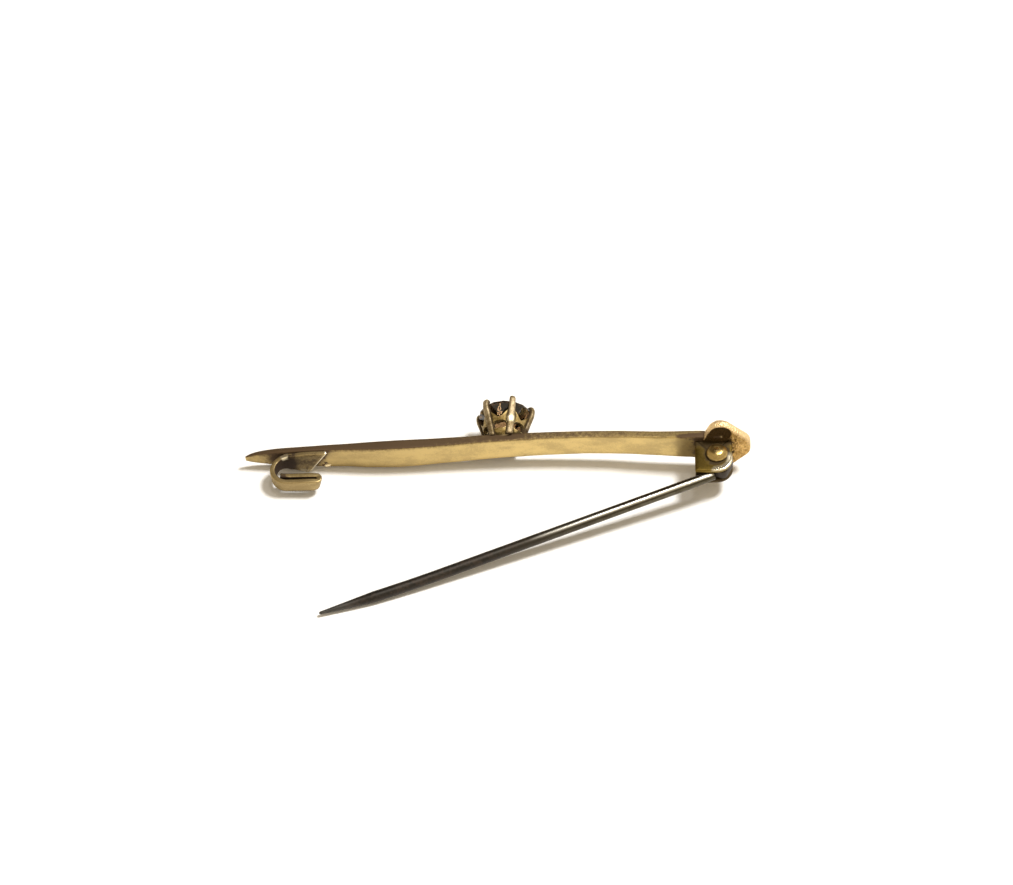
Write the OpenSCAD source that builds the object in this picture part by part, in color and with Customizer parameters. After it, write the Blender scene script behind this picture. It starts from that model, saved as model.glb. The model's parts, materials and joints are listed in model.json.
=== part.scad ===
// Bar brooch with one claw-set stone, lying on its long edge with its pin swung open.
// Millimetres. Every piece is drawn along the brooch's own directions: x runs along the bar
// from the pointed tip to the head, y from the back to the front, z across the bar's width.
// The whole is then tipped onto the three points that it rests on, with the floor at z = 0.

/* [Bar] */
// Length from the pointed tip to the end of the head
bar_length = 46.3; // [44:0.1:50]
// Flat chamfer along the two front edges
front_chamfer = 0.2; // [0.1:0.05:0.3]

/* [Head] */
// Height of the head across its two side lobes
head_height = 6.4; // [5.8:0.1:6.8]
// Radius that rounds each lobe
lobe_r = 1.15; // [1:0.05:1.3]
// Thickness of the head at its rim
head_rim = 0.75; // [0.6:0.05:1]
// Extra thickness where each lobe is domed at the front
lobe_dome = 0.4; // [0.2:0.05:0.5]
// Depth of the hollow behind each side lobe
lobe_hollow = 0.4; // [0.2:0.05:0.5]

/* [Catch] */
// Distance from the pointed tip to the catch's closed end
catch_start = 2.45; // [2:0.05:3]
// Length of the folded arm along the bar
catch_length = 4.7; // [4:0.1:5.5]
// How far the hook stands out from the back
catch_reach = 3.3; // [2.9:0.1:3.4]
// Width of the strip that the hook is folded from
catch_width = 1.6; // [1.4:0.1:1.8]
// Width of its foot, where it is soldered to the back
foot_width = 2.1; // [1.8:0.1:2.2]
// Thickness of that strip
strip = 0.5; // [0.4:0.02:0.56]

/* [Hinge] */
// Distance from the head's end back to the rivet
hinge_inset = 3.05; // [2.8:0.05:3.2]
// Distance from the bar's back to the rivet's centre line
hinge_reach = 1.56; // [1.5:0.02:1.8]
// Radius of the ears' rounded nose
ear_r = 1.38; // [1.2:0.02:1.4]
// How far the middle of that nose lies behind the rivet
ear_drop = 0.35; // [0.2:0.05:0.4]
// Thickness of each ear
ear_t = 0.45; // [0.35:0.05:0.6]
// Length of the ears along the bar, from the rivet towards the tip
ear_tail = 2; // [1.6:0.1:2.4]
// Radius of the rivet's shank
rivet_r = 0.42; // [0.36:0.02:0.46]
// Radius and height of the rivet's dome
dome_r = 0.98; // [0.8:0.02:1]
dome_h = 0.65; // [0.4:0.05:0.7]

/* [Pin] */
// Distance from the rivet to the point, measured along the pin
pin_length = 38.5; // [38:0.1:40]
// Radius of the steel wire
wire_r = 0.5; // [0.4:0.02:0.5]
// Radius of the wire's neck at the eye, and where the neck has widened to the full wire
neck_r = 0.4; // [0.36:0.01:0.43]
neck_end = 3.2; // [2.8:0.1:4]
// Length of the tapered point
point_length = 5.2; // [4:0.1:7]
// Radius of the eye round the rivet
eye_r = 1.42; // [1.3:0.02:1.44]
// Distance from the rivet's centre line to the wire's, across the wire
wire_offset = 1.28; // [1:0.02:1.3]
// How far the pin stands open as it lies
pin_open = 22.5; // [10:0.1:60]

/* [Setting] */
// Number of claws
claws = 6; // [4:1:8]
// Angle of the first claw above the bar's direction
claw_phase = 11; // [0:1:59]
// Radius of the claw wire
claw_r = 0.27; // [0.2:0.01:0.3]
// Radius of the coronet where it meets the bar, and at its rim
cup_foot_r = 1.7; // [1.5:0.05:1.9]
cup_rim_r = 2.25; // [2:0.05:2.4]
// Height of the coronet's wall above the bar's front
cup_h = 2.1; // [1.6:0.1:2.2]

/* [Stone] */
// Radius of the stone at its girdle
stone_r = 2.45; // [2.2:0.05:2.6]
// Height of the girdle above the bar's front
stone_seat = 2.76; // [2.6:0.02:3]

/* [Hidden] */
gap = 0.03;
bead = 0.02;
$fn = 48;

tip_x = -bar_length / 2;
head_end_x = bar_length / 2;

// The bar's own form, one row for each section, smoothed between the rows.
// Columns: distance along the bar as a share of its length, place of the back face,
// height of the section, thickness from back to front.
bar_rows = [
    [0.000, 0.12, 0.50, 0.24],
    [0.012, 0.12, 1.02, 0.38],
    [0.031, 0.10, 1.48, 0.52],
    [0.070, 0.04, 2.00, 0.62],
    [0.130, -0.02, 2.40, 0.68],
    [0.190, -0.08, 2.60, 0.80],
    [0.295, -0.25, 2.85, 1.12],
    [0.390, 0.00, 2.72, 1.04],
    [0.500, 0.36, 2.62, 0.95],
    [0.600, 0.55, 2.58, 0.88],
    [0.680, 0.58, 2.56, 0.85],
    [0.750, 0.46, 2.62, 0.85],
    [0.820, 0.22, 2.78, 0.86],
    [0.880, 0.03, 3.05, 0.90],
    [0.925, -0.05, 3.20, 0.95],
];
BACK = 1;
HEIGHT = 2;
THICK = 3;
bar_steps = 3;

// A column's slope at a row, and its value a share t of the way from row i to the next
function slope(i, c) =
    let (a = bar_rows[max(i - 1, 0)], b = bar_rows[min(i + 1, len(bar_rows) - 1)])
    (b[c] - a[c]) / (b[0] - a[0]);
function eased(i, c, t) =
    let (a = bar_rows[i], b = bar_rows[i + 1], w = b[0] - a[0])
    a[c] * (2 * t * t * t - 3 * t * t + 1) + b[c] * (3 * t * t - 2 * t * t * t)
    + slope(i, c) * w * (t * t * t - 2 * t * t + t) + slope(i + 1, c) * w * (t * t * t - t * t);
function row_before(s) = len([for (i = [1:len(bar_rows) - 2]) if (bar_rows[i][0] <= s) i]);
function bar_at(s, c) =
    let (i = row_before(s), a = bar_rows[i][0], b = bar_rows[i + 1][0])
    eased(i, c, (s - a) / (b - a));
function share(x) = (x - tip_x) / bar_length;
function back_at(x) = bar_at(share(x), BACK);

// Head: corner points that the lobe radius is drawn round, in x and z
head_x = head_end_x - 2.7;
head_back = bar_rows[len(bar_rows) - 1][BACK];
lobe_z = head_height / 2 - lobe_r;
end_x = head_end_x - lobe_r;
end_z = 0.45;
neck_x = head_end_x - 3.45;
neck_z = 0.4;
head_corners = [
    [neck_x, neck_z], [head_x, lobe_z], [end_x, end_z],
    [end_x, -end_z], [head_x, -lobe_z], [neck_x, -neck_z],
];
lobe_centres = [[head_x, lobe_z], [end_x - 0.25, 0], [head_x, -lobe_z]];
lobe_spread = lobe_r - 0.15;

// Hinge
hinge_x = head_end_x - hinge_inset;
hinge_y = head_back - hinge_reach;
eye_h = 0.95;
eye_clearance = 0.05;
ear_inner = eye_h / 2 + eye_clearance;
ear_outer = ear_inner + ear_t;
point_r = 0.08;
straight_length = pin_length - point_length;

// Setting
setting_x = 0.73;
setting_y = back_at(setting_x) + bar_at(share(setting_x), THICK);
claw_joint = [stone_r + 0.07, stone_seat + 0.2];
claw_tip = [stone_r - 0.2, stone_seat + 0.48];
claw_foot = [cup_foot_r + 0.05, 0.1];
girdle_h = 0.16;
crown_h = 0.72;
table_r = 1.37;
pavilion_h = 2.05;
mains = 8;
facet = 360 / mains;
star_r = 1.95;
star_drop = crown_h * (star_r * cos(facet / 2) - table_r) / (stone_r - table_r);

// The floor under the brooch touches the head's lower lobe, the lowest claw and the pin
// where its taper starts. Each is the lowest point of its piece in the brooch's directions.
claw_turn = 360 / claws;
low_claw = claw_phase + claw_turn * round((270 - claw_phase) / claw_turn);
rest_head = [head_x, head_back, -head_height / 2];
rest_claw = [
    setting_x + claw_joint[0] * cos(low_claw),
    setting_y + claw_joint[1],
    claw_joint[0] * sin(low_claw) - claw_r,
];
rest_pin = [
    hinge_x - straight_length * cos(pin_open) + wire_offset * sin(pin_open),
    hinge_y - straight_length * sin(pin_open) - wire_offset * cos(pin_open),
    -wire_r,
];
floor_cross = cross(rest_claw - rest_head, rest_pin - rest_head);
floor_up = floor_cross / norm(floor_cross) * sign(floor_cross[2]);
rest_roll = atan2(floor_up[1], floor_up[2]);
rest_pitch = -atan2(floor_up[0], norm([floor_up[1], floor_up[2]]));
// How far the lobe's round edge, the claw's bead and the wire each reach below the origin
head_reach = lobe_r * norm([floor_up[0], floor_up[2]])
    - [head_x, head_back, -lobe_z] * floor_up;
claw_reach = claw_r + bead - (rest_claw + [0, 0, claw_r]) * floor_up;
pin_reach = -(rest_pin * floor_up);
rest_lift = max(head_reach, claw_reach, pin_reach);
// Middle of the whole in plan, as it lies
centre_x = 0.0041;
centre_y = -6.2394;

module at_rest() {
    translate([-centre_x, -centre_y, rest_lift]) rotate([rest_roll, rest_pitch, 0]) children();
}

// Round rod between two points of the x-z plane, with a slightly larger bead at its end
module rod(from, to, r) {
    run = to - from;
    translate([from[0], 0, from[1]]) rotate([0, atan2(run[0], run[1]), 0])
        cylinder(h = norm(run), r = r, $fn = 24);
    translate([to[0], 0, to[1]]) sphere(r = r + bead, $fn = 24);
}

// Points along an arc, from one angle to another
function arc(centre, r, from, to, steps) =
    [for (k = [0:steps]) let (a = from + (to - from) * k / steps) centre + r * [cos(a), sin(a)]];

// Outline drawn round a chain of corner points, listed clockwise, at the distance r
function rounded(corners, r) =
    let (n = len(corners))
    [for (i = [0:n - 1])
        let (
            before = corners[i] - corners[(i + n - 1) % n],
            after = corners[(i + 1) % n] - corners[i],
            from = atan2(before[1], before[0]) + 90,
            turn = (atan2(after[1], after[0]) + 90 - from) % 360,
            to = from + (turn > 0 ? turn - 360 : turn)
        )
        each arc(corners[i], r, from, to, max(1, round((from - to) / 11)))];

// Low dome of the given radius and height, its flat side on z = 0
module dome(r, h) {
    ball_r = (r * r + h * h) / (2 * h);
    intersection() {
        translate([0, 0, h - ball_r]) sphere(r = ball_r);
        cylinder(h = h + 1, r = r + 1);
    }
}

// The bowed bar: six-sided sections with a flat back and chamfered front edges
module bow() {
    last = len(bar_rows) - 1;
    shares = concat(
        [for (i = [0:last - 1], k = [0:bar_steps - 1])
            bar_rows[i][0] + (bar_rows[i + 1][0] - bar_rows[i][0]) * k / bar_steps],
        [bar_rows[last][0]]
    );
    function section(s) =
        let (
            x = tip_x + bar_length * s,
            back = bar_at(s, BACK),
            half = bar_at(s, HEIGHT) / 2,
            front = back + bar_at(s, THICK),
            cut = min(front_chamfer, half * 0.6)
        )
        [
            [x, back, -half], [x, back, half], [x, front - cut, half],
            [x, front, half - cut], [x, front, cut - half], [x, front - cut, -half],
        ];
    sides = 6;
    rings = len(shares);
    points = [for (s = shares, p = section(s)) p];
    skin = [for (k = [0:rings - 2], j = [0:sides - 1])
        let (a = k * sides + j, b = k * sides + (j + 1) % sides)
        each [[a, b, a + sides], [b, b + sides, a + sides]]];
    caps = [
        [for (j = [0:sides - 1]) sides - 1 - j],
        [for (j = [0:sides - 1]) (rings - 1) * sides + j],
    ];
    polyhedron(points, concat(skin, caps));
}

// The leaf-shaped head: each lobe domed in front, the two side lobes hollowed behind
module head() {
    difference() {
        union() {
            translate([0, head_back, 0]) rotate([90, 0, 0]) mirror([0, 0, 1])
                linear_extrude(head_rim) polygon(rounded(head_corners, lobe_r));
            for (c = lobe_centres)
                translate([c[0], head_back + head_rim, c[1]]) rotate([-90, 0, 0])
                    dome(lobe_spread, lobe_dome);
        }
        for (c = [lobe_centres[0], lobe_centres[2]])
            translate([c[0], head_back, c[1]]) rotate([-90, 0, 0])
                dome(lobe_spread, lobe_hollow);
    }
}

// The catch: one strip that leaves the bar's back, turns round the pin's point and comes
// back along it, with its free end folded in on itself
module catch_hook() {
    closed_x = tip_x + catch_start;
    back = back_at(closed_x + catch_length / 2);
    turn_r = catch_reach / 2;
    turn = [closed_x + turn_r, back - turn_r];
    slit = 0.2;
    fold_r = strip + slit / 2;
    fold = [closed_x + catch_length - fold_r, back - catch_reach + fold_r];
    foot_x = fold[0] + 0.4;
    flap_x = turn[0] + 0.3;
    outline = concat(
        [[foot_x, back - 0.1], [foot_x, back + 0.12]],
        [[turn[0] + 0.4, back + 0.12]],
        arc(turn, turn_r, 90, 270, 16),
        arc(fold, fold_r, -90, 90, 8),
        [[flap_x, fold[1] + fold_r], [flap_x, fold[1] + slit / 2]],
        [[fold[0], fold[1] + slit / 2], [fold[0], fold[1] - slit / 2]],
        arc(turn, turn_r - strip, 270, 90, 14),
        [[foot_x - 0.4, back - strip]]
    );
    foot_outline = [
        [foot_x, back - 0.1], [foot_x, back + 0.12], [turn[0] + 1, back + 0.12],
        [turn[0] + 0.6, back - strip], [foot_x - 0.4, back - strip],
    ];
    translate([0, 0, -catch_width / 2]) linear_extrude(catch_width) polygon(outline);
    translate([0, 0, 0.2 - foot_width / 2]) linear_extrude(foot_width) polygon(foot_outline);
}

// The two ears: square towards the tip, rounded at the nose, bored for the rivet
module ears() {
    tail_x = hinge_x - ear_tail;
    root_y = head_back + 0.45;
    nose = [hinge_x, hinge_y - ear_drop];
    outline = concat(
        [[tail_x, nose[1] - ear_r], [tail_x, root_y], [hinge_x + ear_r, root_y]],
        arc(nose, ear_r, 0, -90, 10)
    );
    difference() {
        for (low = [-ear_outer, ear_inner])
            translate([0, 0, low]) linear_extrude(ear_t) polygon(outline);
        translate([hinge_x, hinge_y, -ear_outer - 1])
            cylinder(h = 2 * ear_outer + 2, r = rivet_r + 0.02);
    }
}

// Everything the stone needs clear round it, as its turned outline
module stone_room() {
    low = stone_seat - girdle_h / 2;
    high = stone_seat + girdle_h / 2;
    top = high + crown_h + gap;
    rotate_extrude() polygon([
        [0, low - pavilion_h - gap], [stone_r + gap, low - gap], [stone_r + gap, high + gap],
        [star_r + gap, top - star_drop], [table_r + gap, top], [0, top],
    ]);
}

// The coronet: a flared cup with scalloped rim and pierced slots, and its claws
module setting() {
    wall = 0.32;
    floor_h = 0.22;
    sink = 0.3;
    slot_r = 0.36;
    slot_h = 0.66;
    scallop_r = 0.92;
    translate([setting_x, setting_y, 0]) rotate([-90, 0, 0]) difference() {
        union() {
            difference() {
                rotate_extrude() polygon([
                    [0, -sink], [cup_foot_r - 0.4, -sink], [cup_foot_r, 0], [cup_rim_r, cup_h],
                    [cup_rim_r - wall, cup_h], [cup_foot_r - wall, floor_h], [0, floor_h],
                ]);
                for (k = [0:claws - 1]) rotate(-claw_phase - claw_turn * (k + 0.5)) {
                    translate([1.5, 0, cup_h + 0.2]) rotate([0, 90, 0])
                        cylinder(h = 3, r = scallop_r);
                    for (side = [-0.32, 0.32]) translate([1, side, slot_h])
                        rotate([0, 90, 0]) cylinder(h = 3, r = slot_r, $fn = 24);
                    translate([1, -0.32, slot_h - slot_r]) cube([3, 0.64, 2 * slot_r]);
                }
            }
            for (k = [0:claws - 1]) rotate(-claw_phase - claw_turn * k) {
                rod(claw_foot, claw_joint, claw_r);
                rod(claw_joint, claw_tip, claw_r);
            }
        }
        stone_room();
    }
}

// The soldered gold work, one piece of metal from tip to head
module bar() {
    color("darkkhaki") at_rest() {
        bow();
        head();
        catch_hook();
        ears();
        setting();
    }
}

// Round brilliant: table, eight star facets, eight kites and sixteen halves above the
// girdle, eight kites and sixteen halves below it
module stone() {
    high = girdle_h / 2;
    lower_r = 0.7;
    lower_z = -high - pavilion_h * (1 - lower_r * cos(facet / 2) / stone_r);
    function ring(r, z, n, turn) =
        [for (k = [0:n - 1]) [r * cos(360 * k / n + turn), r * sin(360 * k / n + turn), z]];
    points = concat(
        ring(table_r, high + crown_h, mains, 0),
        ring(star_r, high + crown_h - star_drop, mains, facet / 2),
        ring(stone_r, high, 2 * mains, 0),
        ring(stone_r, -high, 2 * mains, 0),
        ring(lower_r, lower_z, mains, facet / 2),
        [[0, 0, -high - pavilion_h]]
    );
    top = 0;
    star = mains;
    upper = 2 * mains;
    under = 4 * mains;
    low = 6 * mains;
    culet = 7 * mains;
    function wrap(k) = (k + mains) % mains;
    function edge(k) = (k + 2 * mains) % (2 * mains);
    faces = concat(
        [[for (k = [0:mains - 1]) top + mains - 1 - k]],
        [for (k = [0:mains - 1]) each [
            [top + k, top + wrap(k + 1), star + k],
            [top + k, star + k, upper + edge(2 * k), star + wrap(k - 1)],
            [star + k, upper + edge(2 * k + 1), upper + edge(2 * k)],
            [star + k, upper + edge(2 * k + 2), upper + edge(2 * k + 1)],
            [low + k, under + edge(2 * k), under + edge(2 * k + 1)],
            [low + k, under + edge(2 * k + 1), under + edge(2 * k + 2)],
            [culet, low + wrap(k - 1), under + edge(2 * k), low + k],
        ]],
        [for (k = [0:2 * mains - 1])
            [upper + k, upper + edge(k + 1), under + edge(k + 1), under + k]]
    );
    color("gainsboro") at_rest() translate([setting_x, setting_y + stone_seat, 0])
        rotate([-90, 0, 0]) polyhedron(points, faces);
}

// The rivet: plain shank, domed head above the upper ear, flat burr below the lower one
module rivet() {
    burr_r = 0.7;
    burr_h = 0.22;
    seat = ear_outer + gap;
    color("goldenrod") at_rest() translate([hinge_x, hinge_y, 0]) {
        translate([0, 0, -seat]) cylinder(h = 2 * seat, r = rivet_r);
        translate([0, 0, seat]) dome(dome_r, dome_h);
        translate([0, 0, -seat - burr_h]) cylinder(h = burr_h, r = burr_r);
    }
}

// The pin: an eye drawn out to one side, straight steel wire leaving it there, and a long
// taper down to the point
module pin() {
    bore_r = rivet_r + 0.05;
    lobe = wire_r - 0.04;
    flank = acos((eye_r - lobe) / wire_offset);
    outline = concat(
        arc([0, 0], eye_r, flank - 90, 270 - flank, 24),
        arc([0, -wire_offset], lobe, -90 - flank, flank - 90, 10)
    );
    color("dimgray") at_rest() translate([hinge_x, hinge_y, 0]) rotate(pin_open)
        difference() {
            union() {
                translate([0, 0, -eye_h / 2]) linear_extrude(eye_h) polygon(outline);
                translate([0, -wire_offset, 0]) rotate([0, -90, 0]) {
                    cylinder(h = neck_end, r1 = neck_r, r2 = wire_r - 0.04);
                    translate([0, 0, neck_end])
                        cylinder(h = straight_length - neck_end, r = wire_r);
                    translate([0, 0, straight_length])
                        cylinder(h = point_length - point_r, r1 = wire_r, r2 = point_r);
                    translate([0, 0, pin_length - point_r]) sphere(r = point_r);
                }
            }
            translate([0, 0, -eye_h]) cylinder(h = 2 * eye_h, r = bore_r);
        }
}

bar();
stone();
rivet();
pin();
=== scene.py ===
import math

import bmesh
import bpy
from mathutils import Matrix, Vector, noise
from mathutils.bvhtree import BVHTree
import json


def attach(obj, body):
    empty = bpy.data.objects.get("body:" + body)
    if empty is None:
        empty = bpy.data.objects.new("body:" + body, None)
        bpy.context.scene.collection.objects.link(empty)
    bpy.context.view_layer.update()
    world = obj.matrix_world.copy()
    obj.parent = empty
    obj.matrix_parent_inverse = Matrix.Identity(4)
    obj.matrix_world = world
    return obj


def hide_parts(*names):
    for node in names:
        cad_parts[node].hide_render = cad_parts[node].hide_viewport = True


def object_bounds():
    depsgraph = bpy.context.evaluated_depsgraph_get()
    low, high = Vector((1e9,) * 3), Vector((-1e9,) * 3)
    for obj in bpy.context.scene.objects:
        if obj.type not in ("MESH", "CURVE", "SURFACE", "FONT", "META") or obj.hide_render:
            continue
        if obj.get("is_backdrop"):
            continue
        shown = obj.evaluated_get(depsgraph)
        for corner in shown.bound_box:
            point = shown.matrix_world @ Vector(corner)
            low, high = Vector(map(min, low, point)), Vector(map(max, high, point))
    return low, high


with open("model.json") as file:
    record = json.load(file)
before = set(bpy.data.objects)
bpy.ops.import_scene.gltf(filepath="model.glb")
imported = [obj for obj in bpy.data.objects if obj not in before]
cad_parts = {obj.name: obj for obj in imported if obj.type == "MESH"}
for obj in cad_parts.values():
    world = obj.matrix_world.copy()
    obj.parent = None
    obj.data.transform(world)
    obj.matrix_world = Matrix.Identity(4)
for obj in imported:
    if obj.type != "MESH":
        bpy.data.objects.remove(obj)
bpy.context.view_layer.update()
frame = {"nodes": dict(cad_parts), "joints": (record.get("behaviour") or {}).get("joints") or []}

# --- The bowed bar ---------------------------------------------------------------------
# A slender bar of 9 ct gold, filed to a leaf-like point at one end and soldered to the head
# at the other. Its back is flat, its front edges are softened, and years of wear have left
# fine scratches along it and a brown film where nothing rubs. Its top and bottom faces, its upper
# edges and its back beside the hinge are darkened further as painted shade.

mm = 0.001
bar_length = 46.3
tip_x, head_end_x = -bar_length / 2, bar_length / 2
hinge_x, hinge_y = head_end_x - 3.05, -1.61

# The brooch lies tipped on its long edge, so each piece is drawn along the brooch's own
# directions, in millimetres from its middle, and laid down where the hinge says.
hinge = frame["joints"][0]
across = Vector(hinge["axis"]).normalized()
along = Vector((0, 1, 0)).cross(across).normalized()
turned = Matrix((along, across.cross(along), across)).transposed()


def laid(x, y, z):
    """Where a point of the brooch, in millimetres, lies in the scene"""
    return Vector(hinge["pos_m"]) + turned @ Vector((x - hinge_x, y - hinge_y, z)) * mm


def clipped(value):
    """The value, kept between 0 and 1"""
    return max(0, min(1, value))


class Signal:
    """One socket of a material's nodes, which Python's own operators work on"""

    def __init__(self, tree, socket):
        self.tree, self.socket = tree, socket

    def node(self, kind, settings=None, inputs=None, out=0):
        """Adds a node: its settings first, then the values or links of its sockets"""
        made = self.tree.nodes.new(kind)
        for name, value in (settings or {}).items():
            setattr(made, name, value)
        for name, value in (inputs or {}).items():
            if isinstance(value, Signal):
                self.tree.links.new(value.socket, made.inputs[name])
            else:
                made.inputs[name].default_value = value
        return Signal(self.tree, made.outputs[out] if made.outputs else None)

    def maths(self, operation, *values):
        return self.node("ShaderNodeMath", {"operation": operation}, dict(enumerate(values)))

    def __add__(self, other):
        return self.maths("ADD", self, other)

    def __sub__(self, other):
        return self.maths("SUBTRACT", self, other)

    def __rsub__(self, other):
        return self.maths("SUBTRACT", other, self)

    def __mul__(self, other):
        return self.maths("MULTIPLY", self, other)

    def __abs__(self):
        return self.maths("ABSOLUTE", self)

    __radd__, __rmul__ = __add__, __mul__

    def eased(self, low, high):
        """0 below low, 1 above high, and a soft change between them"""
        return self.node(
            "ShaderNodeMapRange", {"interpolation_type": "SMOOTHSTEP"},
            {"Value": self, "From Min": low, "From Max": high},
        )

    def mix(self, first, second):
        """The first colour where this mask is 0, the second where it is 1"""
        inputs = {0: self, 6: first, 7: second}
        return self.node("ShaderNodeMix", {"data_type": "RGBA"}, inputs, 2)

    def stretched(self, x, y, z):
        """This place, with each direction scaled"""
        return self.node(
            "ShaderNodeVectorMath", {"operation": "MULTIPLY"}, {0: self, 1: (x, y, z)}
        )

    def towards(self, direction):
        """How far this direction points along another: 1 along it, 0 square to it"""
        return self.node(
            "ShaderNodeVectorMath", {"operation": "DOT_PRODUCT"}, {0: self, 1: direction}, "Value"
        )

    def cloud(self, scale, detail=3, roughness=0.55):
        """Soft noise at this place"""
        return self.node(
            "ShaderNodeTexNoise", None,
            {"Vector": self, "Scale": scale, "Detail": detail, "Roughness": roughness}, "Fac",
        )

    def mark(self, name):
        """A value that the piece's mesh carries at each of its points"""
        return self.node("ShaderNodeAttribute", {"attribute_name": name}, None, "Fac")

    def relief(self, depth):
        """This height as a bump, with its depth in millimetres"""
        inputs = {"Height": self, "Distance": depth * mm, "Strength": 1.0}
        return self.node("ShaderNodeBump", None, inputs)


def rgb(red, green, blue):
    return (red, green, blue, 1.0)


def blank(name):
    """A new material: gives it, and the place on the surface in millimetres"""
    material = bpy.data.materials.new(name)
    material.use_nodes = True
    material.node_tree.nodes.clear()
    start = Signal(material.node_tree, None)
    place = start.node("ShaderNodeTexCoord", None, None, "Object")
    return material, place.stretched(1 / mm, 1 / mm, 1 / mm)


def coated(place, **sockets):
    """Ends a material in one shader, given its sockets by name"""
    inputs = {name.replace("_", " "): value for name, value in sockets.items()}
    shader = place.node("ShaderNodeBsdfPrincipled", None, inputs)
    place.node("ShaderNodeOutputMaterial", None, {"Surface": shader})


def worn_and_shaded_gold(
    name, bright, dull, film, film_share, rough, scratch_depth, edge_film_and_shade=0, darkening_marks=(), rubbed_and_glint=None
):
    """Old gold: rubbed bright on its ridges, filmed over and darkened with painted shade in its
    hollows, scratched lengthwise. Each darkening mark is a value that the piece carries, how much
    it darkens the gold and how much it dulls it. These marks are painted shade, except the ones
    along the bar's length, which are tarnish. Faces that look up or down can be darkened as film
    and as a painted dark reflection. The value named in the polish mark says where the piece is
    polished and painted with a pale highlight."""
    material, place = blank(name)
    ridge, corner_shade_and_dirt = place.mark("ridge"), place.mark("corner_shade_and_dirt")
    tone = place.stretched(0.35, 0.8, 0.8).cloud(1.0, 4)
    speckle = place.cloud(3.2, 5, 0.7)
    grit = place.cloud(9, 3, 0.7)
    strokes = place.stretched(0.35, 7, 7).cloud(1.6, 4, 0.75)
    crossing = place.stretched(5, 1.2, 1.2).cloud(1.5, 3, 0.7)
    pits = grit.eased(0.62, 0.75)
    # Darkening mask: film, grain and tarnish, plus painted shade from the corner mark and from the
    # shade marks
    dirt_and_shade = corner_shade_and_dirt * 3.0 + speckle * 0.9 + grit * 0.3 - ridge * 0.9 + (film_share - 1.0)
    for mark, added, _ in darkening_marks:
        dirt_and_shade = dirt_and_shade + place.mark(mark) * added
    # Faces that look up or down are darkened as film and as a painted dark reflection of the room
    if edge_film_and_shade:
        facing = abs(place.node("ShaderNodeTexCoord", None, None, "Normal").towards(across))
        dirt_and_shade = dirt_and_shade + facing.eased(0.5, 0.9) * edge_film_and_shade
    dirt_and_shade = dirt_and_shade.eased(0.0, 0.7)
    body = (tone + grit * 0.6 + speckle * 0.3 - 0.45).eased(0.35, 0.66).mix(bright, dull)
    body = (strokes.eased(0.56, 0.7) * 0.25).mix(body, dull)
    grime_and_shade = [(a + b) / 2 for a, b in zip(dull, film)]
    for mark, _, dulled in darkening_marks:
        if dulled:
            body = (place.mark(mark) * dulled).mix(body, grime_and_shade)
    colour = dirt_and_shade.mix(body, film)
    colour = (ridge.eased(0.35, 1.0) * 0.8).mix(colour, rgb(0.90, 0.72, 0.42))
    roughness = rough + tone * 0.12 + dirt_and_shade * 0.25 + strokes * 0.08 - ridge.eased(0.15, 0.7) * 0.1
    # Where the polish mark is set, the gold is polished and its colour is painted pale as a
    # highlight
    if rubbed_and_glint:
        polish_and_highlight = place.mark(rubbed_and_glint)
        dirt_and_shade, roughness = dirt_and_shade * (1 - polish_and_highlight), roughness - polish_and_highlight * 0.16
        colour = polish_and_highlight.mix(colour, rgb(0.97, 0.88, 0.66))
    height = strokes * 0.5 + crossing * 0.18 + speckle * 0.3 - pits * 0.5
    coated(
        place, Base_Color=colour, Metallic=1 - dirt_and_shade * 0.45, Roughness=roughness,
        Normal=height.relief(scratch_depth),
    )
    return material


def carry(piece, name, values):
    """Gives each point of a piece a value that its finish can read"""
    layer = piece.data.attributes.get(name) or piece.data.attributes.new(name, "FLOAT", "POINT")
    layer.data.foreach_set("value", values)


def marked(piece, name, value_at):
    """Marks each point of a piece with a value worked out from its place on the brooch"""
    back = turned.transposed()
    values = []
    for v in piece.data.vertices:
        x, y, z = back @ (v.co - Vector(hinge["pos_m"])) / mm
        values.append(clipped(value_at(x + hinge_x, y + hinge_y, z)))
    carry(piece, name, values)


def ridged(piece):
    """Marks each point with how far it stands proud of its neighbours"""
    form = bmesh.new()
    form.from_mesh(piece.data)
    form.normal_update()
    form.verts.ensure_lookup_table()
    proud = []
    for v in form.verts:
        near = [e.other_vert(v).co for e in v.link_edges]
        size = sum(e.calc_length() for e in v.link_edges) / len(near)
        middle = sum(near, Vector()) / len(near)
        proud.append(2.5 * (v.co - middle).dot(v.normal) / max(size, 1e-9))
    for _ in range(2):
        proud = [
            (proud[v.index] + sum(proud[e.other_vert(v).index] for e in v.link_edges))
            / (1 + len(v.link_edges))
            for v in form.verts
        ]
    form.free()
    carry(piece, "ridge", proud)


# Edges that turn by more than this stay sharp
sharp_turn = math.radians(38)


def formed(name, points, faces, finish):
    """Makes a piece from points in the brooch's millimetres"""
    mesh = bpy.data.meshes.new(name)
    mesh.from_pydata([laid(*p) for p in points], [], faces)
    form = bmesh.new()
    form.from_mesh(mesh)
    bmesh.ops.remove_doubles(form, verts=form.verts, dist=0.0004 * mm)
    bmesh.ops.recalc_face_normals(form, faces=form.faces)
    form.to_mesh(mesh)
    form.free()
    mesh.materials.append(finish)
    mesh.shade_smooth()
    mesh.set_sharp_from_angle(angle=sharp_turn)
    piece = bpy.data.objects.new(name, mesh)
    bpy.context.collection.objects.link(piece)
    ridged(piece)
    return piece


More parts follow.
